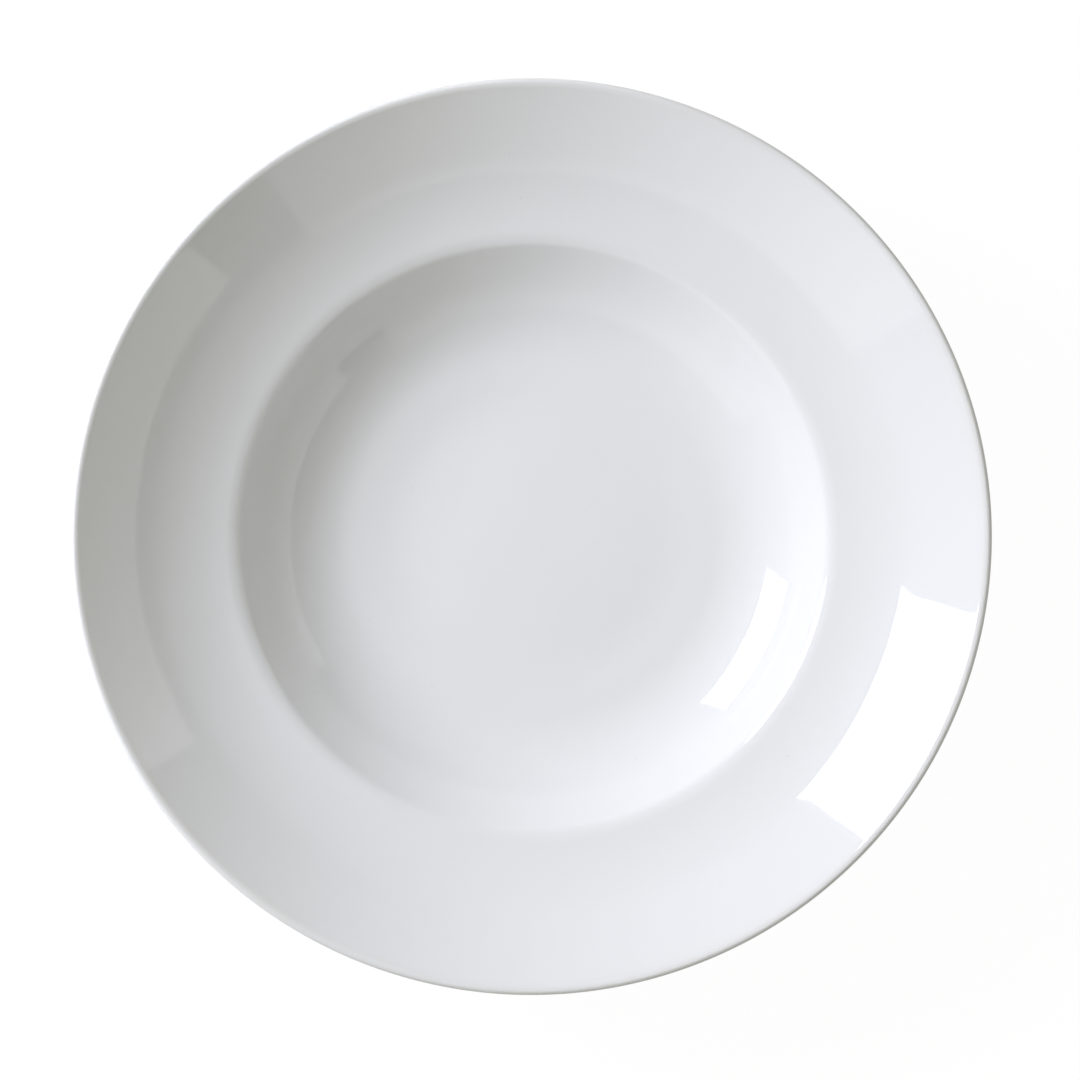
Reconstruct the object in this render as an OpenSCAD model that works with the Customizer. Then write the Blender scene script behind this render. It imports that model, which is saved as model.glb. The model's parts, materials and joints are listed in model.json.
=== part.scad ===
// Wide-rimmed pasta bowl in white glazed porcelain.
// Millimetres and degrees, +Z up. The origin is the centre of the plane that the foot ring
// stands on. The bowl is round, so everything is one half outline turned about Z.

/* [Rim] */
// Diameter over the lip
bowl_d = 300; // [270:1:330]
// Slope of the rim where it leaves the shoulder, in degrees
rim_low_slope = 17; // [13:0.5:22]
// Diameter at which the rim begins to turn up more closely
rim_turn_d = 243; // [236:1:250]
// Slope of the rim at that diameter, in degrees
rim_turn_slope = 30; // [28:0.5:32]
// Width of that closer turn, seen from above
rim_turn_w = 5.5; // [4:0.5:8]
// Slope at which the turn passes into the flatter outer curve, in degrees
rim_bend_slope = 36.5; // [34:0.5:38.5]
// Slope of the rim just inside the lip, in degrees
rim_high_slope = 42; // [39:0.5:45]

/* [Well] */
// Diameter of the flat part of the floor
floor_d = 84; // [60:1:98]
// Diameter at which the floor has turned up to the slope of its dished edge
dish_d = 105; // [99:1:112]
// Slope of the dished edge, in degrees
dish_slope = 5; // [3:0.5:8]
// Diameter at which the dished edge passes into the sweep
heel_d = 121; // [116:1:126]
// Diameter at which the sweep passes into the wall
sweep_d = 174; // [168:1:180]
// Slope of the well at that diameter, in degrees
sweep_slope = 42; // [38:0.5:45]
// Diameter of the well at the top of its wall, where the wall turns over
well_d = 194; // [188:1:200]
// Slope of the wall at its top, in degrees
wall_slope = 50; // [47:0.5:53]
// Width of the close curve in which the wall turns over, seen from above
edge_w = 2; // [1.7:0.1:3]
// Slope at which that curve hands over to the shoulder, in degrees
edge_slope = 28; // [26:0.5:32]
// Width of the softer shoulder between that curve and the rim, seen from above
shoulder_w = 3.2; // [2.6:0.1:5]

/* [Thickness] */
// Thickness of the wall and the inner rim, glaze included
wall_t = 4.2; // [3.6:0.1:5]
// Thickness to which the outer rim thins at the lip, glaze included
lip_t = 3.2; // [2.8:0.1:3.6]
// Thickness of the base inside the foot ring, glaze included
base_t = 5.6; // [5:0.1:8]
// Thickness of the glaze
glaze_t = 0.3; // [0.2:0.05:0.5]

/* [Lip] */
// Radius of the easing on the upper side, just before the lip turns over
lip_ease_r = 4; // [3:0.5:5]
// Slope at which the easing hands over to the round nose of the lip, in degrees
lip_crest_slope = 18; // [14:1:22]
// Radius of the nose above, where it is closest
lip_nose_r = 1.2; // [1:0.1:1.4]

/* [Foot ring] */
// Outer diameter of the foot ring
foot_d = 130; // [126:1:140]
// Width of the foot ring
foot_w = 5; // [4:0.5:8]
// Height of the recess inside the foot ring
foot_h = 3.5; // [3.4:0.1:5]
// Radius of the foot ring's lower edges
foot_edge_r = 0.8; // [0.5:0.1:1]
// Radius of the hollow where the foot ring meets the wall outside and the base inside
foot_fillet_r = 1.6; // [1:0.1:1.8]
// Height above the standing face at which the wiped foot ends and the glaze begins
bare_h = 1.3; // [1.1:0.1:1.5]

/* [Hidden] */

// A station is a point of the finished outline with its heading: [radius, height, heading].
// The outline runs from the floor's centre out over the lip and back underneath to the centre
// of the recess, so the ware always lies on its right-hand side.
bowl_r = bowl_d / 2;
rim_turn_r = rim_turn_d / 2;
rim_bend_r = rim_turn_r + rim_turn_w;
floor_r = floor_d / 2;
dish_r = dish_d / 2;
heel_r = heel_d / 2;
sweep_r = sweep_d / 2;
wall_top_r = well_d / 2;
edge_end_r = wall_top_r + edge_w;
rim_start_r = edge_end_r + shoulder_w;
foot_r = foot_d / 2;
floor_z = foot_h + base_t;

// Steps in each bend of the outline
dish_steps = 4;
sweep_steps = 10;
wall_steps = 4;
edge_steps = 6;
shoulder_steps = 5;
rim_steps = 10;
turn_steps = 4;
ease_steps = 4;
nose_steps = 8;
corner_steps = 6;
turn_fn = 180;

// Headings on the underside are the slopes above, turned right round
straight_down = -90;
inward = -180;
straight_up = -270;

// A bend turns the heading evenly from a to b. Its signed radius is positive for a left turn.
function bend_radius(run, a, b) = run / (sin(b) - sin(a));
function bend(from, radius, b, steps) =
    let (a = from[2])
    [for (i = [1 : steps])
        let (h = a + (b - a) * i / steps)
        [from[0] + radius * (sin(h) - sin(a)), from[1] + radius * (cos(a) - cos(h)), h]];
function bend_to(from, end_r, b, steps) =
    bend(from, bend_radius(end_r - from[0], from[2], b), b, steps);
function last(stations) = stations[len(stations) - 1];

// A station moved into the ware by a distance square to its heading
function sunk(s, depth) = [s[0] + depth * sin(s[2]), s[1] - depth * cos(s[2])];
function beneath(s) = [each sunk(s, ware_t(s[0])), s[2] + inward];
function backwards(list) = [for (i = [len(list) - 1 : -1 : 0]) list[i]];

// Lip: the easing and the nose set where the rim ends, and the thickness that they leave below
// sets the rounder underside of the nose
ease_turn = rim_high_slope - lip_crest_slope;
rim_end_r = bowl_r - lip_ease_r * (sin(rim_high_slope) - sin(lip_crest_slope))
    - lip_nose_r * (1 + sin(lip_crest_slope));
above_nose = lip_ease_r * (1 - cos(ease_turn)) + lip_nose_r * (cos(ease_turn) + sin(rim_high_slope));
nose_under_r = (lip_t - above_nose) / (1 - sin(rim_high_slope));

// Thickness of the ware at a radius: the wall's up to the outer rim, then thinning to the lip's
function ware_t(r) =
    wall_t - (wall_t - lip_t) * max(0, (r - rim_bend_r) / (rim_end_r - rim_bend_r));

// Upper side, from the floor's centre to the end of the rim
floor_edge = [floor_r, floor_z, 0];
dish = bend_to(floor_edge, dish_r, dish_slope, dish_steps);
heel = [heel_r, last(dish)[1] + (heel_r - dish_r) * tan(dish_slope), dish_slope];
sweep = bend_to(heel, sweep_r, sweep_slope, sweep_steps);
wall = bend_to(last(sweep), wall_top_r, wall_slope, wall_steps);
edge = bend_to(last(wall), edge_end_r, edge_slope, edge_steps);
shoulder = bend_to(last(edge), rim_start_r, rim_low_slope, shoulder_steps);
rim_inner = bend_to(last(shoulder), rim_turn_r, rim_turn_slope, rim_steps);
rim_turn = bend_to(last(rim_inner), rim_bend_r, rim_bend_slope, turn_steps);
rim_outer = bend_to(last(rim_turn), rim_end_r, rim_high_slope, rim_steps);

// Lip, from the end of the rim round to the underside
ease = bend(last(rim_outer), -lip_ease_r, lip_crest_slope, ease_steps);
nose_top = bend(last(ease), -lip_nose_r, straight_down, nose_steps);
nose_under = bend(last(nose_top), -nose_under_r, rim_high_slope + inward, nose_steps);

// Hollow between the foot ring and the underside of the sweep: it touches them both
sweep_radius = bend_radius(sweep_r - heel_r, dish_slope, sweep_slope);
sweep_centre_r = heel_r - sweep_radius * sin(dish_slope);
sweep_centre_z = heel[1] + sweep_radius * cos(dish_slope);
under_radius = sweep_radius + wall_t;
hollow_slope = asin((foot_r + foot_fillet_r - sweep_centre_r) / (under_radius + foot_fillet_r));
hollow_start = [sweep_centre_r + under_radius * sin(hollow_slope),
    sweep_centre_z - under_radius * cos(hollow_slope), hollow_slope + inward];

// Underside, from the lip to the hollow, a ware's thickness below the upper side. The nose takes
// the place of the rim's last station.
above_hollow = [for (s = sweep) if (s[2] > hollow_slope) s];
rim_outer_under = [for (s = rim_outer) if (s[0] < rim_outer[rim_steps - 1][0]) s];
above = concat(above_hollow, wall, edge, shoulder, rim_inner, rim_turn, rim_outer_under);
underside = [for (s = backwards(above)) beneath(s)];
hollow = bend(hollow_start, foot_fillet_r, straight_down, corner_steps);

// Foot ring. The finished outline runs a glaze's thickness below the standing face, where the
// wiped body is bare.
edge_r = foot_edge_r + glaze_t;
outer_side_low = [foot_r, edge_r - glaze_t, straight_down];
outer_edge = bend(outer_side_low, -edge_r, inward, corner_steps);
inner_edge_low = [foot_r - foot_w + edge_r, -glaze_t, inward];
inner_edge = bend(inner_edge_low, -edge_r, straight_up, corner_steps);
recess_fillet_low = [foot_r - foot_w, foot_h - foot_fillet_r, straight_up];
recess_fillet = bend(recess_fillet_low, foot_fillet_r, inward, corner_steps);

// Where the glaze ends on the two sides of the foot ring
outer_stop = [foot_r, bare_h, straight_down];
inner_stop = [foot_r - foot_w, bare_h, straight_up];

floor_line = concat([[0, floor_z, 0], floor_edge], dish, [heel]);
inside_line = concat(floor_line, sweep, wall, edge, shoulder);
lip_line = concat(rim_inner, rim_turn, rim_outer, ease, nose_top, nose_under);
coat_line = concat(inside_line, lip_line, underside, [hollow_start], hollow, [outer_stop]);
bare_line = concat([outer_side_low], outer_edge, [inner_edge_low], inner_edge);
recess_line = concat([inner_stop], [recess_fillet_low], recess_fillet, [[0, foot_h, inward]]);

function skin(line) = [for (s = line) [s[0], s[1]]];
function under_glaze(line) = [for (s = line) sunk(s, glaze_t)];

module turned(outline) {
    rotate_extrude($fn = turn_fn) polygon(outline);
}

module porcelain_body() {
    color([0.93, 0.925, 0.9])
        turned(under_glaze(concat(coat_line, bare_line, recess_line)));
}

module glaze_coat() {
    color([0.95, 0.955, 0.96])
        turned(concat(skin(coat_line), backwards(under_glaze(coat_line))));
}

module foot_recess_glaze() {
    color([0.95, 0.955, 0.96])
        turned(concat(skin(recess_line), backwards(under_glaze(recess_line))));
}

porcelain_body();
glaze_coat();
foot_recess_glaze();
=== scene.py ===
"""A wide-rimmed pasta bowl in white glazed porcelain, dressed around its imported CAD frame.

Laid out as a Blender add-on and run as a script. Lengths are in metres, +Z is up, and the origin
is the centre of the plane that the foot ring stands on.
"""

import json
import math

import bpy
import numpy as np
from mathutils import Matrix, Vector


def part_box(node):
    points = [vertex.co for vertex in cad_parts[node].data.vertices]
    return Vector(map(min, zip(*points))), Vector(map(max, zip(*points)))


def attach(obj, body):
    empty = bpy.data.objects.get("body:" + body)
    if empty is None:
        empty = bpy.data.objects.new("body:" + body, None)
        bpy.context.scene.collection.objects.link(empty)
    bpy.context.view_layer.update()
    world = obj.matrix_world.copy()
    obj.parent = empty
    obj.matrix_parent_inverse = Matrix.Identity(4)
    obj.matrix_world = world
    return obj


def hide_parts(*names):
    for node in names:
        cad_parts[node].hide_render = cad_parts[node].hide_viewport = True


bl_info = {
    "name": "Pasta bowl",
    "version": (1, 0, 0),
    "blender": (4, 5, 0),
    "location": "3D View > Sidebar > Pasta bowl",
    "description": "Builds a glazed porcelain pasta bowl and the studio that it is shown in",
    "category": "Add Mesh",
}

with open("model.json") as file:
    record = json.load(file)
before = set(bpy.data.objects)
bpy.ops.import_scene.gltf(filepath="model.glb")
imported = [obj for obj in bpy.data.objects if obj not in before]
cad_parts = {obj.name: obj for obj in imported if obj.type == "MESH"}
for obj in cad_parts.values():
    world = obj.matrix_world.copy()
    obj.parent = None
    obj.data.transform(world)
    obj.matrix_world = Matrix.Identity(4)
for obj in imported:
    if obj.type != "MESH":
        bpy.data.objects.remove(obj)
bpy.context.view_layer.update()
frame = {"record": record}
COAT_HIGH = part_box("glaze_coat")[1]
SLOT_COLOURS = {row["slot"]: row["base_color"] for row in frame["record"]["materials"]}

TURN = 2 * math.pi
DOWN, INWARD, UP = -math.pi / 2, -math.pi, -1.5 * math.pi

# Points round a piece, and how finely its shown and hidden outlines are stepped. The underside
# of an outline has the share FINE_BELOW of the steps that its upper side has.
AROUND = 360
FINE_SHOWN, FINE_BELOW, FINE_HIDDEN = 1.0, 0.55, 0.35


def length(name, description, default):
    """A length in metres that the panel shows in the scene's own unit."""
    return bpy.props.FloatProperty(
        name=name, description=description, default=default, unit="LENGTH", precision=5)


def angle(name, description, degrees):
    """An angle, given in degrees and kept in radians."""
    return bpy.props.FloatProperty(
        name=name, description=description, default=math.radians(degrees), subtype="ANGLE")


def share(name, description, default):
    """A plain factor."""
    return bpy.props.FloatProperty(name=name, description=description, default=default)


def colour(name, description, default):
    """A linear colour."""
    return bpy.props.FloatVectorProperty(
        name=name, description=description, default=default, size=3, subtype="COLOR",
        min=0.0, max=1.0)


class BowlSizes(bpy.types.PropertyGroup):
    """The bowl's outline, in the same sizes as its CAD model."""

    lip_r: length("Lip radius", "Radius over the lip", COAT_HIGH.x)
    floor_r: length("Floor radius", "Radius of the flat part of the floor", 0.042)
    dish_r: length("Dish radius", "Where the floor has turned up to its edge slope", 0.0525)
    dish_slope: angle("Dish slope", "Slope of the floor's edge", 5.0)
    heel_r: length("Heel radius", "Where the floor's edge passes into the sweep", 0.0605)
    sweep_r: length("Sweep radius", "Where the sweep passes into the wall", 0.087)
    sweep_slope: angle("Sweep slope", "Slope of the well at that radius", 42.0)
    well_r: length("Well radius", "Radius of the well at the top of its wall", 0.097)
    wall_slope: angle("Wall slope", "Slope of the wall at its top", 50.0)
    edge_w: length("Edge width", "Width of the shoulder's tight inner curve", 0.002)
    edge_slope: angle("Edge slope", "Slope at which the tight curve ends", 28.0)
    shoulder_w: length("Shoulder width", "Width of the shoulder's soft outer curve", 0.0032)
    rim_low_slope: angle("Low slope", "Slope of the rim where it leaves the shoulder", 17.0)
    rim_turn_r: length("Rim turn radius", "Where the rim begins to turn up closely", 0.1215)
    rim_turn_slope: angle("Rim turn slope", "Slope of the rim at that radius", 30.0)
    rim_turn_w: length("Rim turn width", "Width of that closer turn", 0.0055)
    rim_bend_slope: angle("Rim bend slope", "Slope at which the closer turn ends", 36.5)
    rim_high_slope: angle("High slope", "Slope of the rim just inside the lip", 42.0)
    wall_t: length("Wall thickness", "Thickness of the wall with the glaze", 0.0042)
    lip_t: length("Lip thickness", "Thickness to which the outer rim thins", 0.0032)
    base_t: length("Base thickness", "Thickness of the base with the glaze", 0.0056)
    glaze_t: length("Glaze thickness", "Thickness of the glaze", 0.0003)
    ease_r: length("Easing radius", "Radius of the easing just inside the lip", 0.004)
    crest_slope: angle("Crest slope", "Slope at which the easing meets the round nose", 18.0)
    nose_r: length("Nose radius", "Radius of the nose above, where it is closest", 0.0012)
    foot_r: length("Foot radius", "Outer radius of the foot ring", 0.065)
    foot_w: length("Foot width", "Width of the foot ring", 0.005)
    foot_h: length("Foot height", "Height of the recess inside the foot ring", 0.0035)
    foot_edge_r: length("Foot edge radius", "Radius of the foot ring's lower edges", 0.0008)
    fillet_r: length("Fillet radius", "Radius of the hollow beside the foot ring", 0.0016)
    bare_h: length("Bare height", "Height at which the glaze begins", 0.0013)
    roll_l: length("Glaze roll", "Length over which the glaze's end rounds off", 0.0005)
    oval_well: share("Well ovality", "Share by which the well is narrower along Y", 0.004)
    oval_lip: share("Lip ovality", "Share by which the lip is narrower along Y", 0.0048)
    warp_h: length("Warp", "Rise and fall of the rim from firing", 0.00022)
    ripple_h: length("Ripple", "Height of the faint unevenness that bends reflections", 0.000010)


class BowlFinish(bpy.types.PropertyGroup):
    """Colours of the glaze and of the bare body."""

    glaze: colour("Glaze", "White of the glazed body", SLOT_COLOURS["glaze"])
    glaze_warm: colour("Glaze, thin", "Where the glaze runs thin", (0.80, 0.785, 0.745))
    speck: colour("Speck", "Iron specks and pinholes", (0.30, 0.26, 0.21))
    bare: colour("Bare body", "Unglazed porcelain", SLOT_COLOURS["porcelain"])
    bare_worn: colour("Worn body", "Rubbed places of the standing face", (0.70, 0.685, 0.65))
    toasted: colour("Toasted line", "Line beside the glaze's end", (0.66, 0.53, 0.38))


class StudioSettings(bpy.types.PropertyGroup):
    """Lamps, cards, floor and camera."""

    camera_at: bpy.props.FloatVectorProperty(
        name="Camera", description="Place of the camera", default=(0.031, -0.009, 1.5),
        size=3, subtype="TRANSLATION")
    view_width: length("View width", "Width of the frame at the lip", 0.3516)
    view_offset: bpy.props.FloatVectorProperty(
        name="View centre", description="Point of the lip's plane in the frame's middle",
        default=(0.00312, -0.0012), size=2, unit="LENGTH")
    key_level: share("Key level", "What the key lamp adds to a white sheet that faces it", 1.058)
    key_colour: colour("Key colour", "Tint of the key lamp and the softbox", (0.883, 0.895, 1.0))
    key_azimuth: angle("Key azimuth", "Where the key lamp hangs, from +X", 156.5)
    key_zenith: angle("Key zenith", "How far it hangs off the vertical", 54.2)
    key_away: length("Key distance", "From the bowl to the key lamp", 1.2)
    key_size: length("Key size", "Width of the key lamp", 0.5)
    box_radiance: share("Softbox radiance", "Brightness of the softbox in the glaze", 14.0)
    box_azimuth: angle("Softbox azimuth", "Where it stands, from +X", 154.0)
    box_top_x: length("Softbox top distance", "From the axis to its top edge", 1.0)
    box_top_z: length("Softbox top height", "Height of its top edge", 0.735)
    box_low_x: length("Softbox low distance", "From the axis to its bottom edge", 1.218)
    box_low_z: length("Softbox low height", "Height of its bottom edge", 0.175)
    box_width: length("Softbox width", "Width of the softbox", 0.652)
    ambient: share("Ambient", "Brightness of the room's soft light", 0.345)
    ambient_colour: colour("Ambient colour", "Tint of the soft light", (1.0, 0.995, 0.881))
    room: share("Room", "Brightness of the room in the glaze's reflections", 0.13)
    near_level: share("Near card brightness", "Brightness of the near card", 1.1)
    far_level: share("Far card brightness", "Brightness of the far card", 0.8)
    near_middle: angle("Near card azimuth", "Where its middle stands, from +X", -4.2)
    near_half: angle("Near card half", "Half the angle that it spans", 37.5)
    near_r: length("Near card distance", "From the axis to the card", 0.36)
    near_low: length("Near card low", "Height of its bottom edge", 0.06)
    near_high: length("Near card high", "Height of its top edge", 0.245)
    far_middle: angle("Far card azimuth", "Where its middle stands, from +X", -103.0)
    far_half: angle("Far card half", "Half the angle that it spans", 48.0)
    far_r: length("Far card distance", "From the axis to the card", 1.0)
    far_low: length("Far card low", "Height of its bottom edge", 0.06)
    far_high: length("Far card high", "Height of its top edge", 0.83)
    floor_r: length("Floor radius", "Radius of the paper floor", 4.0)
    paper: colour("Paper", "Colour of the floor", (0.8, 0.8, 0.8))
    paper_white: share("Paper white", "Level of the white that the camera sees", 1.04)
    paper_glow: share("Paper glow", "Share of that white in what the camera sees", 0.93)


def arc(start, size, heading, steps):
    """Stations of a round bend. The heading turns evenly from the start's to the given one, and a
    point moves by size times the change of its sine outwards and of minus its cosine upwards.
    Size is the radius, positive where the bend turns left."""
    r, z, a = start
    h = np.linspace(a, heading, steps + 1)[1:]
    return np.column_stack([
        r + size * (np.sin(h) - math.sin(a)), z + size * (math.cos(a) - np.cos(h)), h])


def arc_to(start, end_r, heading, steps):
    """A bend whose radius is the run outwards over the change of the heading's sine."""
    return arc(start, (end_r - start[0]) / (math.sin(heading) - math.sin(start[2])),
               heading, steps)


def straight(start, end, steps):
    """Evenly spaced stations on a straight run that keeps the start's heading."""
    way = np.linspace(0, 1, steps + 1)[1:, None]
    places = start[:2] + way * (np.array(end) - start[:2])
    return np.column_stack([places, np.full(steps, start[2])])


def sunk(line, depth):
    """Stations moved into the ware, to the right of their heading, by the depth."""
    return np.column_stack([line[:, 0] + depth * np.sin(line[:, 2]),
                            line[:, 1] - depth * np.cos(line[:, 2]), line[:, 2]])


def rim_end_r(s):
    """Radius where the rim ends: the lip's, less the runs of the easing and the nose."""
    return (s.lip_r - s.ease_r * (math.sin(s.rim_high_slope) - math.sin(s.crest_slope))
            - s.nose_r * (1 + math.sin(s.crest_slope)))


def ware_t(r, s):
    """Thickness at a radius: the wall's, thinning evenly over the outer rim to the lip's."""
    bend_r = s.rim_turn_r + s.rim_turn_w
    way = np.clip((r - bend_r) / (rim_end_r(s) - bend_r), 0, None)
    return s.wall_t - (s.wall_t - s.lip_t) * way


def upper_side(s, fine):
    """Runs of the upper side from the floor's centre to the end of the rim, one bend after the
    other, each starting where the last one ended."""
    def steps(count):
        return max(2, round(count * fine))

    floor_z = s.foot_h + s.base_t
    runs = {"floor": straight(np.array([0, floor_z, 0.0]), (s.floor_r, floor_z), steps(8))}
    runs["dish"] = arc_to(runs["floor"][-1], s.dish_r, s.dish_slope, steps(8))
    edge = runs["dish"][-1]
    heel_z = edge[1] + (s.heel_r - s.dish_r) * math.tan(s.dish_slope)
    runs["heel"] = straight(edge, (s.heel_r, heel_z), steps(4))
    runs["sweep"] = arc_to(runs["heel"][-1], s.sweep_r, s.sweep_slope, steps(22))
    runs["wall"] = arc_to(runs["sweep"][-1], s.well_r, s.wall_slope, steps(6))
    runs["edge"] = arc_to(runs["wall"][-1], s.well_r + s.edge_w, s.edge_slope, steps(9))
    rim_r = s.well_r + s.edge_w + s.shoulder_w
    runs["shoulder"] = arc_to(runs["edge"][-1], rim_r, s.rim_low_slope, steps(8))
    runs["rim_inner"] = arc_to(
        runs["shoulder"][-1], s.rim_turn_r, s.rim_turn_slope, steps(14))
    runs["rim_turn"] = arc_to(
        runs["rim_inner"][-1], s.rim_turn_r + s.rim_turn_w, s.rim_bend_slope, steps(6))
    runs["rim_outer"] = arc_to(
        runs["rim_turn"][-1], rim_end_r(s), s.rim_high_slope, steps(14))
    turn, lean = s.rim_high_slope - s.crest_slope, math.sin(s.rim_high_slope)
    left = (s.lip_t - s.ease_r * (1 - math.cos(turn)) - s.nose_r * (math.cos(turn) + lean))
    runs["ease"] = arc(runs["rim_outer"][-1], -s.ease_r, s.crest_slope, steps(8))
    runs["nose"] = arc(runs["ease"][-1], -s.nose_r, DOWN, steps(14))
    runs["nose_under"] = arc(
        runs["nose"][-1], -left / (1 - lean), s.rim_high_slope + INWARD, steps(8))
    return runs


def rolled(side, stop_z, s):
    """The glaze's end on a side of the foot ring. Over the roll's length the surface sinks by the
    glaze's thickness times one less the root of one less the square of the way gone."""
    sign = 1 if side[1] > stop_z else -1
    turned_z = stop_z + sign * s.roll_l
    steps = 8
    plain = straight(side, (side[0], turned_z), 3)
    roll = straight(plain[-1], (side[0], stop_z), steps)
    way = np.arange(1, steps + 1) / steps
    return np.vstack([plain, sunk(roll, s.glaze_t * (1 - np.sqrt(1 - way ** 2)))])


def coat_outline(s, fine):
    """Outside of the glaze coat: the upper side, the lip, the underside a ware's thickness below
    the upper side, and the hollow that touches both the sweep's underside and the foot ring.
    The nose takes the place of the rim's last station below."""
    runs = upper_side(s, fine)
    heel = runs["heel"][-1]
    sweep = (s.sweep_r - s.heel_r) / (math.sin(s.sweep_slope) - math.sin(s.dish_slope))
    centre_r = heel[0] - sweep * math.sin(s.dish_slope)
    centre_z = heel[1] + sweep * math.cos(s.dish_slope)
    under = sweep + s.wall_t
    meet = math.asin((s.foot_r + s.fillet_r - centre_r) / (under + s.fillet_r))
    below = upper_side(s, fine * FINE_BELOW)
    below["rim_outer"] = below["rim_outer"][:-1]
    back = np.vstack([below[name] for name in (
        "sweep", "wall", "edge", "shoulder", "rim_inner", "rim_turn", "rim_outer")])
    back = back[back[:, 2] > meet]
    back = sunk(back, ware_t(back[:, 0], s))[::-1]
    back[:, 2] += INWARD
    start = np.array([centre_r + under * math.sin(meet), centre_z - under * math.cos(meet),
                      meet + INWARD])
    hollow = arc(start, s.fillet_r, DOWN, 6)
    pole = np.array([[0, runs["floor"][0, 1], 0.0]])
    return np.vstack([pole, *runs.values(), back, start[None], hollow])


def recess_outline(s):
    """Outside of the recess's glaze, from the side of the foot ring up over the fillet and in to
    the middle."""
    foot = np.array([s.foot_r - s.foot_w, s.foot_h - s.fillet_r, UP])
    fillet = arc(foot, s.fillet_r, INWARD, 8)
    return np.vstack([foot[None], fillet, straight(fillet[-1], (0, s.foot_h), 10)])


def bare_outline(s):
    """The wiped foot: down the outer side, round its edge, across the flat that stands on the
    table, and up the inner side."""
    edge = s.foot_edge_r + s.glaze_t
    low = np.array([[s.foot_r, s.foot_edge_r, DOWN]])
    outer = arc(low[0], -edge, INWARD, 8)
    flat = straight(outer[-1], (s.foot_r - s.foot_w + edge, -s.glaze_t), 6)
    inner = arc(flat[-1], -edge, UP, 8)
    return np.vstack([low, outer, flat, inner])


def warped(points, s):
    """Moves points as firing does. The ring narrows along Y by a share that runs from the well's
    to the lip's, the rim sinks by slow waves round the bowl that grow towards the lip, and short
    waves of random direction leave the faint unevenness that bends a reflection's edge."""
    x, y, z = points.T
    r, a = np.hypot(x, y), np.arctan2(y, x)
    outwards = np.clip((r - s.well_r) / (s.lip_r - s.well_r), 0, 1)
    y = y * (1 - s.oval_well + (s.oval_well - s.oval_lip) * outwards)
    rng = np.random.default_rng(11)
    slow_counts, slow_reach = (2, 3, 4, 5), 1.3
    slow = sum(np.cos(k * a + rng.uniform(0, TURN)) / k for k in slow_counts)
    lift = np.clip((r - s.foot_r) / (s.lip_r - s.foot_r), 0, 1) ** 2
    z = z - s.warp_h * lift * (1 + slow / slow_reach) / 2
    waves, shortest, fade_out, fade_up, ripple_reach = 28, 0.02, 0.015, 0.004, 3
    fewest, most = 4, 26
    round_count = rng.integers(fewest, most, waves)[:, None]
    across = (rng.uniform(-1, 1, waves) * TURN / shortest)[:, None]
    phase = rng.uniform(0, TURN, waves)[:, None]
    ripple = np.cos(round_count * a + across * r + phase).sum(axis=0) / math.sqrt(waves / 2)
    near = np.clip((r - s.foot_r) / fade_out, 0, 1) * np.clip((z - s.bare_h) / fade_up, 0, 1)
    return np.column_stack([x, y, z - s.ripple_h * near * (1 + ripple / ripple_reach)])


def strip_faces(rows, columns, closed):
    """Quads of a grid of points, rows by columns, whose columns may join up."""
    i = np.arange(rows - 1)[:, None] * columns
    j = np.arange(columns if closed else columns - 1)
    after = (j + 1) % columns
    return np.stack([i + j, i + columns + j, i + columns + after, i + after],
                    axis=-1).reshape(-1, 4)


def turned_solid(name, line, s):
    """A closed solid of revolution. Ring i of the grid is station i of the line, and point j of a
    ring is its radius times the cosine and sine of j steps of the turn, with the station's
    height. The line's first and last stations lie on the axis and close it with fans."""
    a = np.arange(AROUND) * TURN / AROUND
    r, z = line[1:-1, 0][:, None], line[1:-1, 1][:, None]
    grid = np.stack([r * np.cos(a), r * np.sin(a), z + 0 * a], axis=-1)
    poles = [(0, 0, line[0, 1]), (0, 0, line[-1, 1])]
    points = warped(np.vstack([grid.reshape(-1, 3), poles]), s)
    rings = len(r)
    j = np.arange(AROUND)
    after = (j + 1) % AROUND
    first, last = rings * AROUND, (rings - 1) * AROUND
    fans = np.vstack([np.column_stack([np.full(AROUND, first), j, after]),
                      np.column_stack([np.full(AROUND, first + 1), last + after, last + j])])
    quads = strip_faces(rings, AROUND, True)
    mesh = bpy.data.meshes.new(name)
    mesh.from_pydata(points.tolist(), [], fans.tolist() + quads.tolist())
    mesh.polygons.foreach_set("use_smooth", np.ones(len(mesh.polygons), bool))
    mesh.update()
    piece = bpy.data.objects.new(name, mesh)
    bpy.context.scene.collection.objects.link(piece)
    return piece


def add(tree, kind, inputs=None, **settings):
    """Adds a shader node, sets its settings, and fills its inputs with values or links."""
    made = tree.nodes.new(kind)
    for name, value in settings.items():
        setattr(made, name, value)
    for name, value in (inputs or {}).items():
        if isinstance(value, bpy.types.NodeSocket):
            tree.links.new(value, made.inputs[name])
        else:
            made.inputs[name].default_value = value
    return made


def maths(tree, operation, *values):
    """One Math node over the given values."""
    return add(tree, "ShaderNodeMath", dict(enumerate(values)), operation=operation).outputs[0]


def ramp(tree, value, low, high, start=0.0, end=1.0, smooth=False):
    """Takes a value from low to high over to start to end, and holds it beyond them."""
    return add(tree, "ShaderNodeMapRange",
               {0: value, 1: low, 2: high, 3: start, 4: end},
               interpolation_type="SMOOTHSTEP" if smooth else "LINEAR").outputs[0]


def mix(tree, amount, first, second):
    """Mixes two colours."""
    made = add(tree, "ShaderNodeMix", {0: amount}, data_type="RGBA")
    for socket, value in ((made.inputs[6], first), (made.inputs[7], second)):
        if isinstance(value, bpy.types.NodeSocket):
            tree.links.new(value, socket)
        else:
            socket.default_value = (*value, 1)
    return made.outputs[2]


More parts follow.
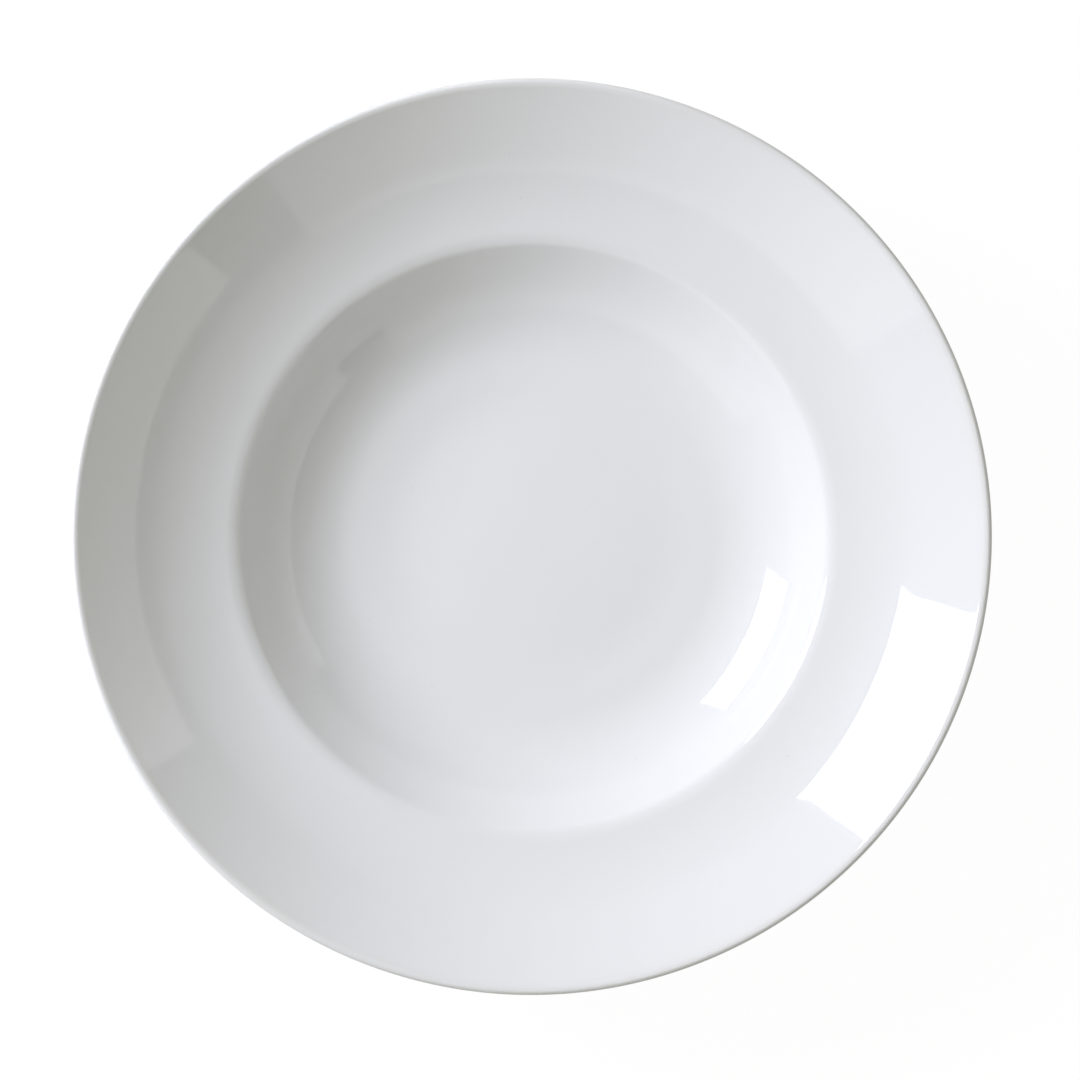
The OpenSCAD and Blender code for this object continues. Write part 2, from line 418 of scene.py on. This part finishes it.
def new_group(name, inputs, output):
    """An empty node group with float inputs beside its Vector, and one output."""
    tree = bpy.data.node_groups.new(name, "ShaderNodeTree")
    tree.interface.new_socket("Vector", in_out="INPUT", socket_type="NodeSocketVector")
    for label, value in inputs.items():
        socket = tree.interface.new_socket(label, in_out="INPUT", socket_type="NodeSocketFloat")
        socket.default_value = value
    tree.interface.new_socket(output, in_out="OUTPUT", socket_type="NodeSocketFloat")
    entry = tree.nodes.new("NodeGroupInput")
    return tree, entry, tree.nodes.new("NodeGroupOutput")


def cloud_group():
    """Soft cloudy variation between 0 and 1, with Size clouds to the metre."""
    tree, entry, leave = new_group("Firing cloud", {"Size": 20.0, "Detail": 3.0}, "Cloud")
    noise = add(tree, "ShaderNodeTexNoise",
                {"Vector": entry.outputs["Vector"], "Scale": entry.outputs["Size"],
                 "Detail": entry.outputs["Detail"], "Roughness": 0.5})
    tree.links.new(ramp(tree, noise.outputs[0], 0.3, 0.7), leave.inputs["Cloud"])
    return tree


def speck_group():
    """Scattered round specks: 1 within Radius of a random point in each cell, where there are
    Cells cells to the metre, and 0 outside."""
    tree, entry, leave = new_group("Specks", {"Cells": 80.0, "Radius": 0.0003}, "Speck")
    cell = add(tree, "ShaderNodeTexVoronoi",
               {"Vector": entry.outputs["Vector"], "Scale": entry.outputs["Cells"]})
    reach = maths(tree, "MULTIPLY", entry.outputs["Radius"], entry.outputs["Cells"])
    inside = maths(tree, "DIVIDE", cell.outputs["Distance"], reach)
    tree.links.new(ramp(tree, inside, 0.6, 1.0, 1.0, 0.0, smooth=True), leave.inputs["Speck"])
    return tree


def wheel_group():
    """Concentric lines left by turning: a wave over the distance from the axis, every Spacing,
    pushed in and out by Wobble times a cloud."""
    tree, entry, leave = new_group(
        "Wheel lines", {"Spacing": 0.002, "Wobble": 0.0003}, "Line")
    flat = add(tree, "ShaderNodeVectorMath",
               {0: entry.outputs["Vector"], 1: (1, 1, 0)}, operation="MULTIPLY")
    radius = add(tree, "ShaderNodeVectorMath", {0: flat.outputs[0]},
                 operation="LENGTH").outputs["Value"]
    noise = add(tree, "ShaderNodeTexNoise",
                {"Vector": entry.outputs["Vector"], "Scale": 40.0, "Detail": 2.0})
    push = maths(tree, "MULTIPLY", noise.outputs[0], entry.outputs["Wobble"])
    turns = maths(tree, "DIVIDE", maths(tree, "ADD", radius, push), entry.outputs["Spacing"])
    wave = maths(tree, "SINE", maths(tree, "MULTIPLY", turns, TURN))
    tree.links.new(maths(tree, "MULTIPLY_ADD", wave, 0.5, 0.5), leave.inputs["Line"])
    return tree


def place_group(tree, group, vector, **values):
    """Puts a shared group into a material, reading the given place on the piece."""
    made = add(tree, "ShaderNodeGroup", node_tree=bpy.data.node_groups.get(group))
    tree.links.new(vector, made.inputs["Vector"])
    for name, value in values.items():
        made.inputs[name].default_value = value
    return made.outputs[0]


def new_material(name):
    """An empty material with its Principled shader, and the place on the piece."""
    made = bpy.data.materials.new(name)
    made.use_nodes = True
    tree = made.node_tree
    tree.nodes.clear()
    shader = add(tree, "ShaderNodeBsdfPrincipled")
    add(tree, "ShaderNodeOutputMaterial", {"Surface": shader.outputs[0]})
    place = add(tree, "ShaderNodeTexCoord").outputs["Object"]
    return made, tree, shader, place


def glaze_material():
    """Clear gloss glaze on white porcelain: a cool white that warms where the glaze runs thin
    over the lip, a few faint pinholes, and the slight unevenness of a dipped glaze."""
    found = bpy.data.materials.get("Gloss glaze")
    if found:
        return found
    finish, sizes = bpy.context.scene.bowl_finish, bpy.context.scene.bowl_sizes
    made, tree, shader, place = new_material("Gloss glaze")
    cloud = place_group(tree, "Firing cloud", place, Size=14.0, Detail=3.0)
    speck = place_group(tree, "Specks", place, Cells=78.0, Radius=0.00042)
    lines = place_group(tree, "Wheel lines", place, Spacing=0.0031, Wobble=0.004)
    peel = place_group(tree, "Firing cloud", place, Size=260.0, Detail=1.0)
    height = add(tree, "ShaderNodeSeparateXYZ", {0: place}).outputs[2]
    thin_band = 10 * sizes.glaze_t
    lip = ramp(tree, height, COAT_HIGH.z - thin_band, COAT_HIGH.z, smooth=True)
    thin = maths(tree, "MULTIPLY_ADD", cloud, 0.15, 0.15)
    tone = mix(tree, maths(tree, "MULTIPLY", cloud, 0.10), finish.glaze, finish.glaze_warm)
    tone = mix(tree, maths(tree, "MULTIPLY", lip, thin), tone, finish.glaze_warm)
    tone = mix(tree, maths(tree, "MULTIPLY", speck, 0.12), tone, finish.speck)
    tree.links.new(tone, shader.inputs["Base Color"])
    tree.links.new(ramp(tree, cloud, 0, 1, 0.028, 0.05), shader.inputs["Roughness"])
    shader.inputs["IOR"].default_value = 1.5
    peel_bump = add(tree, "ShaderNodeBump",
                    {"Strength": 1.0, "Distance": 0.0000012, "Height": peel})
    line_bump = add(tree, "ShaderNodeBump",
                    {"Strength": 1.0, "Distance": 0.0000012, "Height": lines,
                     "Normal": peel_bump.outputs[0]})
    pit_bump = add(tree, "ShaderNodeBump",
                   {"Strength": 0.1, "Distance": 0.00012, "Height": speck,
                    "Normal": line_bump.outputs[0]}, invert=True)
    tree.links.new(pit_bump.outputs[0], shader.inputs["Normal"])
    return made


def bare_material():
    """Unglazed porcelain of the foot ring: matte and fine-grained, ground in circles on the
    standing face, rubbed grey in places, with a toasted line beside the glaze."""
    found = bpy.data.materials.get("Bare porcelain")
    if found:
        return found
    finish, sizes = bpy.context.scene.bowl_finish, bpy.context.scene.bowl_sizes
    made, tree, shader, place = new_material("Bare porcelain")
    worn = place_group(tree, "Firing cloud", place, Size=90.0, Detail=4.0)
    grain = place_group(tree, "Firing cloud", place, Size=4000.0, Detail=2.0)
    pores = place_group(tree, "Specks", place, Cells=420.0, Radius=0.00028)
    lines = place_group(tree, "Wheel lines", place, Spacing=0.00032, Wobble=0.0006)
    height = add(tree, "ShaderNodeSeparateXYZ", {0: place}).outputs[2]
    toast = ramp(tree, height, sizes.foot_edge_r, sizes.bare_h, smooth=True)
    face = ramp(tree, height, 0.0, sizes.foot_edge_r * 0.3, 1.0, 0.0)
    tone = mix(tree, maths(tree, "MULTIPLY", maths(tree, "MULTIPLY", worn, face), 0.7),
               finish.bare, finish.bare_worn)
    tone = mix(tree, maths(tree, "MULTIPLY", toast, 0.5), tone, finish.toasted)
    tone = mix(tree, maths(tree, "MULTIPLY", pores, 0.5), tone, finish.speck)
    tree.links.new(tone, shader.inputs["Base Color"])
    tree.links.new(ramp(tree, worn, 0, 1, 0.75, 0.58), shader.inputs["Roughness"])
    grain_bump = add(tree, "ShaderNodeBump",
                     {"Strength": 1.0, "Distance": 0.00002, "Height": grain})
    line_bump = add(tree, "ShaderNodeBump",
                    {"Strength": face, "Distance": 0.00002, "Height": lines,
                     "Normal": grain_bump.outputs[0]})
    tree.links.new(line_bump.outputs[0], shader.inputs["Normal"])
    return made


def finish_piece(piece, node, material):
    """Gives a piece its material, hangs it under the root body and hides the CAD node that it
    stands for.
    """
    piece.data.materials.append(material)
    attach(piece, "root")
    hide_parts(node)


class BOWL_OT_finishes(bpy.types.Operator):
    """Makes the node groups that the glaze and the bare body share"""
    bl_idname = "pasta_bowl.finishes"
    bl_label = "Shared finishes"

    def execute(self, context):
        cloud_group()
        speck_group()
        wheel_group()
        return {"FINISHED"}


class BOWL_OT_glaze_coat(bpy.types.Operator):
    """Makes the glaze over the well, rim, lip and underside, down to the foot ring's side"""
    bl_idname = "pasta_bowl.glaze_coat"
    bl_label = "Glaze coat"

    def execute(self, context):
        s = context.scene.bowl_sizes
        outer = coat_outline(s, FINE_SHOWN)
        outer = np.vstack([outer, rolled(outer[-1], s.bare_h, s)])
        inner = sunk(coat_outline(s, FINE_HIDDEN), s.glaze_t)[::-1]
        finish_piece(turned_solid("glazed_bowl_coat", np.vstack([outer, inner]), s),
                     "glaze_coat", glaze_material())
        return {"FINISHED"}


class BOWL_OT_porcelain_body(bpy.types.Operator):
    """Makes the fired body, which shows only at the wiped foot ring"""
    bl_idname = "pasta_bowl.porcelain_body"
    bl_label = "Porcelain body"

    def execute(self, context):
        s = context.scene.bowl_sizes
        whole = np.vstack([coat_outline(s, FINE_HIDDEN), bare_outline(s), recess_outline(s)])
        finish_piece(turned_solid("porcelain_body_and_foot", sunk(whole, s.glaze_t), s),
                     "porcelain_body", bare_material())
        return {"FINISHED"}


class BOWL_OT_recess_glaze(bpy.types.Operator):
    """Makes the glaze of the recess inside the foot ring"""
    bl_idname = "pasta_bowl.recess_glaze"
    bl_label = "Recess glaze"

    def execute(self, context):
        s = context.scene.bowl_sizes
        line = recess_outline(s)
        backing = sunk(line, s.glaze_t)[::-1]
        # A roll sinks towards the axis, so this one is mirrored in the foot ring's inner side
        start = line[0].copy()
        start[2] = DOWN
        roll = rolled(start, s.bare_h, s)[::-1]
        roll[:, 0] = 2 * line[0, 0] - roll[:, 0]
        finish_piece(turned_solid("recess_glaze_disc", np.vstack([backing, roll, line]), s),
                     "foot_recess_glaze", glaze_material())
        return {"FINISHED"}


def stage_sheet(name, points, faces):
    """A sheet of the stage, made from an array of its points and its faces."""
    mesh = bpy.data.meshes.new(name)
    mesh.from_pydata(points.tolist(), [], faces.tolist())
    mesh.update()
    made = bpy.data.objects.new(name, mesh)
    bpy.context.scene.collection.objects.link(made)
    return made


def light_path_white(tree, lit, white):
    """Shows the plain white to camera, glossy and transmission rays, and the lit shader to the
    rest, so that a pale ground comes from its colour and not from more light."""
    path = add(tree, "ShaderNodeLightPath").outputs
    seen = maths(tree, "MAXIMUM", path["Is Camera Ray"],
                 maths(tree, "MAXIMUM", path["Is Glossy Ray"], path["Is Transmission Ray"]))
    return add(tree, "ShaderNodeMixShader", {0: seen, 1: lit, 2: white}).outputs[0]


def floor_material(studio):
    """Matte white paper. What the camera sees is mostly plain white with a little of the true
    shade left in it, so that the bowl's soft shadow stays. From below it is clear, so that the
    bowl's underside can be looked at."""
    made = bpy.data.materials.new("Studio paper")
    made.use_nodes = True
    tree = made.node_tree
    tree.nodes.clear()
    lit = add(tree, "ShaderNodeBsdfDiffuse", {"Color": (*studio.paper, 1)}).outputs[0]
    glow = add(tree, "ShaderNodeEmission", {"Strength": studio.paper_white}).outputs[0]
    seen = add(tree, "ShaderNodeMixShader", {0: studio.paper_glow, 1: lit, 2: glow}).outputs[0]
    top = light_path_white(tree, lit, seen)
    clear = add(tree, "ShaderNodeBsdfTransparent").outputs[0]
    back = add(tree, "ShaderNodeNewGeometry").outputs["Backfacing"]
    both = add(tree, "ShaderNodeMixShader", {0: back, 1: top, 2: clear}).outputs[0]
    add(tree, "ShaderNodeOutputMaterial", {"Surface": both})
    return made


def make_floor(studio, sizes):
    """A round sheet whose rings grow evenly in the logarithm of their radius. Its middle is open
    under the recess, where the foot ring hides it, so that the underside isn't black."""
    rings, around, hidden_share = 24, 96, 0.6
    hole = sizes.foot_r - sizes.foot_w * hidden_share
    r = np.geomspace(hole, studio.floor_r, rings)[:, None]
    a = np.arange(around) * TURN / around
    points = np.stack([r * np.cos(a), r * np.sin(a), 0 * r * a], axis=-1).reshape(-1, 3)
    floor = stage_sheet("studio_floor", points, strip_faces(rings, around, True))
    floor.data.materials.append(floor_material(studio))


def make_card(name, level, middle, half, radius, low, high):
    """A white card bent round the bowl. Across, its azimuth runs evenly from one end to the
    other; upwards its height runs from low to high."""
    rows, columns = 6, 40
    a = np.linspace(middle - half, middle + half, columns)
    z = np.linspace(low, high, rows)[:, None]
    r = radius + 0 * z
    points = np.stack([r * np.cos(a), r * np.sin(a), z + 0 * a], axis=-1).reshape(-1, 3)
    card = stage_sheet(name, points, strip_faces(rows, columns, False))
    made = bpy.data.materials.new(name)
    made.use_nodes = True
    tree = made.node_tree
    tree.nodes.clear()
    glow = add(tree, "ShaderNodeEmission", {"Strength": level})
    add(tree, "ShaderNodeOutputMaterial", {"Surface": glow.outputs[0]})
    made.cycles.emission_sampling = "NONE"
    card.data.materials.append(made)
    card.visible_camera = card.visible_diffuse = card.visible_shadow = False
    card.visible_transmission = False


def placed(across, up, place):
    """A matrix with the given X and Y axes. A lamp or camera looks along its -Z axis."""
    matrix = Matrix((across, up, across.cross(up))).transposed().to_4x4()
    matrix.translation = place
    return matrix


def area_lamp(name, studio, wide, tall, radiance, matrix):
    """A rectangular lamp. Its power is pi times its area times its radiance."""
    lamp = bpy.data.lights.new(name, "AREA")
    lamp.shape = "RECTANGLE"
    lamp.size, lamp.size_y = wide, tall
    lamp.energy = math.pi * wide * tall * radiance
    lamp.color = studio.key_colour
    made = bpy.data.objects.new(name, lamp)
    made.matrix_world = matrix
    made.visible_camera = False
    bpy.context.scene.collection.objects.link(made)
    return made


def make_key(studio):
    """The lamp that shades the bowl. The radiance that gives its level is pi times the level
    times the square of its distance over its area."""
    a, zenith = studio.key_azimuth, studio.key_zenith
    out = Vector((math.cos(a) * math.sin(zenith), math.sin(a) * math.sin(zenith),
                  math.cos(zenith)))
    side = Vector((0, 0, 1)).cross(out).normalized()
    area = studio.key_size ** 2
    radiance = math.pi * studio.key_level * studio.key_away ** 2 / area
    made = area_lamp("key_lamp", studio, studio.key_size, studio.key_size, radiance,
                     placed(side, out.cross(side), out * studio.key_away))
    made.visible_glossy = made.visible_transmission = False


def make_softbox(studio):
    """The softbox that the glaze mirrors. It faces the bowl, and its top edge stands nearer than
    its bottom edge."""
    out = Vector((math.cos(studio.box_azimuth), math.sin(studio.box_azimuth), 0))
    top = out * studio.box_top_x + Vector((0, 0, studio.box_top_z))
    low = out * studio.box_low_x + Vector((0, 0, studio.box_low_z))
    up = (top - low).normalized()
    side = up.cross(out).normalized()
    made = area_lamp("softbox", studio, studio.box_width, (top - low).length,
                     studio.box_radiance, placed(side, up, (top + low) / 2))
    made.visible_diffuse = False


def make_world(studio):
    """The room. Its soft light is even, the camera sees white, and the glaze mirrors a dim room
    above a white horizon."""
    world = bpy.data.worlds.new("Studio room")
    bpy.context.scene.world = world
    world.use_nodes = True
    tree = world.node_tree
    tree.nodes.clear()
    way = add(tree, "ShaderNodeTexCoord").outputs["Generated"]
    soft = add(tree, "ShaderNodeBackground", {
        "Color": (*studio.ambient_colour, 1), "Strength": studio.ambient}).outputs[0]
    up = add(tree, "ShaderNodeSeparateXYZ", {0: way}).outputs[2]
    horizon = ramp(tree, up, 0.10, 0.14, 1.0, studio.room, smooth=True)
    plain = (1, 1, 1, 1)
    gloss = add(tree, "ShaderNodeBackground", {"Color": plain, "Strength": horizon}).outputs[0]
    white = add(tree, "ShaderNodeBackground", {"Color": plain}).outputs[0]
    path = add(tree, "ShaderNodeLightPath").outputs
    shiny = maths(tree, "MAXIMUM", path["Is Glossy Ray"], path["Is Transmission Ray"])
    seen = add(tree, "ShaderNodeMixShader", {0: shiny, 1: soft, 2: gloss}).outputs[0]
    seen = add(tree, "ShaderNodeMixShader",
               {0: path["Is Camera Ray"], 1: seen, 2: white}).outputs[0]
    add(tree, "ShaderNodeOutputWorld", {"Surface": seen})


def make_camera(studio, sizes):
    """Looks down on the lip's plane from the given place. Its lens sees the view width there."""
    data = bpy.data.cameras.new("camera")
    made = bpy.data.objects.new("camera", data)
    bpy.context.scene.collection.objects.link(made)
    place = Vector(studio.camera_at)
    aim = Vector((*studio.view_offset, COAT_HIGH.z - sizes.nose_r))
    ahead = (aim - place).normalized()
    across = ahead.cross(Vector((0, 1, 0))).normalized()
    made.matrix_world = placed(across, across.cross(ahead), place)
    data.lens = data.sensor_width * (aim - place).length / studio.view_width
    bpy.context.scene.camera = made


class BOWL_OT_studio(bpy.types.Operator):
    """Sets the paper floor, the room, the softbox, the white cards and the camera"""
    bl_idname = "pasta_bowl.studio"
    bl_label = "Studio"

    def execute(self, context):
        studio, sizes = context.scene.bowl_studio, context.scene.bowl_sizes
        make_floor(studio, sizes)
        make_world(studio)
        make_key(studio)
        make_softbox(studio)
        make_card("near_card", studio.near_level, studio.near_middle, studio.near_half,
                  studio.near_r, studio.near_low, studio.near_high)
        make_card("far_card", studio.far_level, studio.far_middle, studio.far_half,
                  studio.far_r, studio.far_low, studio.far_high)
        make_camera(studio, sizes)
        context.scene.view_settings.view_transform = "Standard"
        return {"FINISHED"}


OPERATORS = (BOWL_OT_finishes, BOWL_OT_glaze_coat, BOWL_OT_porcelain_body,
             BOWL_OT_recess_glaze, BOWL_OT_studio)


class BOWL_PT_panel(bpy.types.Panel):
    """Lists the bowl's sizes, colours and steps"""
    bl_idname = "BOWL_PT_panel"
    bl_label = "Pasta bowl"
    bl_space_type = "VIEW_3D"
    bl_region_type = "UI"
    bl_category = "Pasta bowl"

    def draw(self, context):
        scene = context.scene
        for group in (scene.bowl_sizes, scene.bowl_finish, scene.bowl_studio):
            box = self.layout.box()
            for name in group.__annotations__:
                box.prop(group, name)
        for operator in OPERATORS:
            self.layout.operator(operator.bl_idname)


CLASSES = (BowlSizes, BowlFinish, StudioSettings, *OPERATORS, BOWL_PT_panel)


def register():
    for cls in CLASSES:
        bpy.utils.register_class(cls)
    bpy.types.Scene.bowl_sizes = bpy.props.PointerProperty(type=BowlSizes)
    bpy.types.Scene.bowl_finish = bpy.props.PointerProperty(type=BowlFinish)
    bpy.types.Scene.bowl_studio = bpy.props.PointerProperty(type=StudioSettings)


def unregister():
    del bpy.types.Scene.bowl_sizes, bpy.types.Scene.bowl_finish, bpy.types.Scene.bowl_studio
    for cls in reversed(CLASSES):
        bpy.utils.unregister_class(cls)


def main():
    register()
    bpy.ops.pasta_bowl.finishes()
    bpy.ops.pasta_bowl.glaze_coat()
    bpy.ops.pasta_bowl.porcelain_body()
    bpy.ops.pasta_bowl.recess_glaze()
    bpy.ops.pasta_bowl.studio()


if __name__ == "__main__":
    main()
